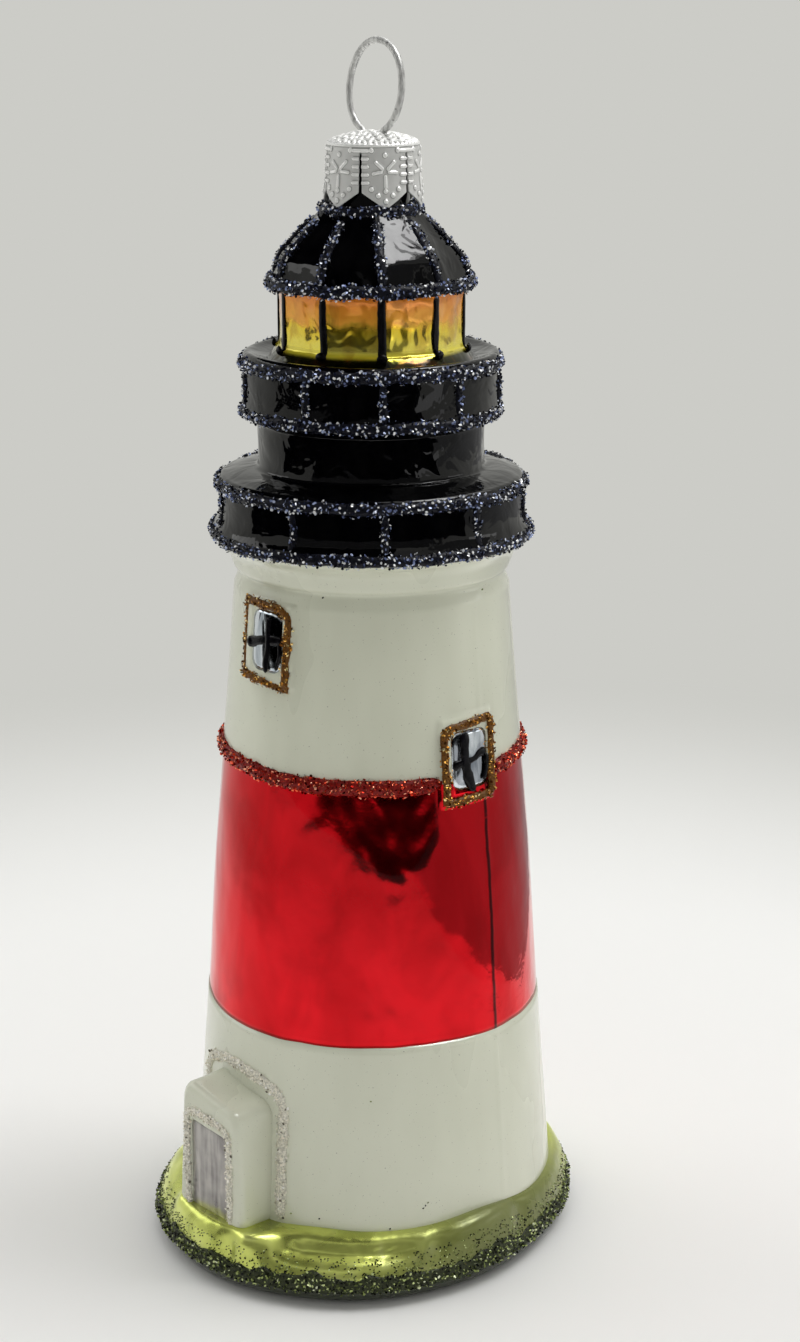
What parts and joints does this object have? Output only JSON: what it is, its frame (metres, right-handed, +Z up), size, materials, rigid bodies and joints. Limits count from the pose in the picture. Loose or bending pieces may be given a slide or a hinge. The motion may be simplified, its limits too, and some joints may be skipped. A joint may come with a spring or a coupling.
{
  "type": "lighthouse christmas ornament",
  "caption": "Blown-glass lighthouse hanging ornament: hollow lacquered body with glitter trims, stamped metal cap and wire hanging loop.",
  "frame": {"origin": "on the tower's axis, in the plane of the flat bottom", "axes": "+Z up along the tower, -Y towards the door"},
  "size_m": [0.0582, 0.0623, 0.1641],
  "materials": {
    "white_lacquer": "pearly gloss lacquer on glass",
    "cap_metal": "stamped, bright",
    "loop_wire": "bright drawn wire",
    "navy_glitter": "glitter in glue",
    "black_enamel": "glossy enamel",
    "copper_glitter": "glitter in glue",
    "white_glitter": "iridescent glitter in glue",
    "green_glitter": "dark glitter in glue",
    "red_mirror": "mirrored red lacquer on glass",
    "amber_mirror": "mirrored amber lacquer on glass",
    "green_mirror": "mirrored yellow-green lacquer on glass",
    "silver_mirror": "bare silvered glass"
  },
  "bodies": {
    "root": {"glass_body": "white_lacquer", "cap_crown": "cap_metal", "hanger_wire": "loop_wire", "neck_ring": "navy_glitter", "roof_ribs": "navy_glitter", "eave_ring": "navy_glitter", "lantern_mullions": "black_enamel", "upper_gallery_top_ring": "navy_glitter", "upper_gallery_posts": "navy_glitter", "upper_gallery_foot_ring": "navy_glitter", "lower_gallery_top_ring": "navy_glitter", "lower_gallery_posts": "navy_glitter", "lower_gallery_foot_ring": "navy_glitter", "band_ring": "copper_glitter", "front_window_border": "copper_glitter", "right_window_border": "copper_glitter", "back_window_border": "copper_glitter", "left_window_border": "copper_glitter", "door_outline": "white_glitter", "porch_outline": "white_glitter", "mound_hem": "green_glitter"}
  },
  "joints": []
}
